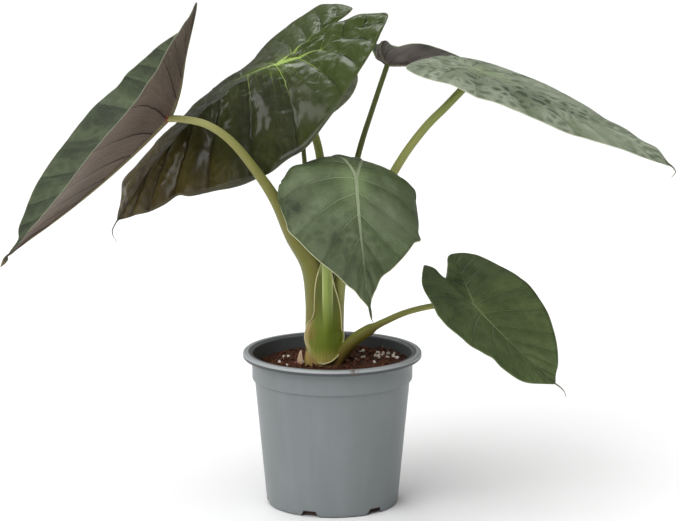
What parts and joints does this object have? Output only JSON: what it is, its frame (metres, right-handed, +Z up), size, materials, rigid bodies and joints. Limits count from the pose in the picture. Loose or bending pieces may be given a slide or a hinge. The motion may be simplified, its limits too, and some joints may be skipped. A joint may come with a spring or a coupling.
{
  "type": "potted alocasia wentii plant",
  "caption": "Elephant-ear house plant with shield-shaped drooping leaves on long sheathed stalks, standing in soil in a tapered plastic nursery pot.",
  "frame": {"origin": "middle of the pot's flat underside", "axes": "+Z up along the pot's axis, +X to the right across the spread of the leaves, -Y towards the front"},
  "size_m": [0.6194, 0.3274, 0.4839],
  "materials": {
    "pot": "matt grey moulded polypropylene",
    "soil": "damp bark and coir potting mix with perlite",
    "corm": "papery rootstock skin",
    "stalk": "smooth fleshy leaf stalk, satin",
    "blade": "waxy leaf blade, satin, pale veins",
    "blade_dark": "glossy dark leaf blade with pale veins",
    "blade_pale": "leaf blade with a bluish grey bloom",
    "blade_purple": "leaf blade seen from its purple brown underside",
    "dry_scale": "dry papery scale leaf"
  },
  "bodies": {
    "root": {"pot": "pot", "soil": "soil", "corm": "corm", "petiole_front": "stalk", "petiole_low_right": "stalk", "petiole_left": "stalk", "petiole_long_right": "stalk", "petiole_centre": "stalk", "petiole_back_right": "stalk", "petiole_hidden": "stalk", "leaf_left": "blade_purple", "leaf_centre": "blade_dark", "leaf_back_right": "blade_purple", "leaf_long_right": "blade_pale", "leaf_front": "blade", "leaf_low_right": "blade", "leaf_hidden": "blade_pale", "dried_scale": "dry_scale"}
  },
  "joints": []
}
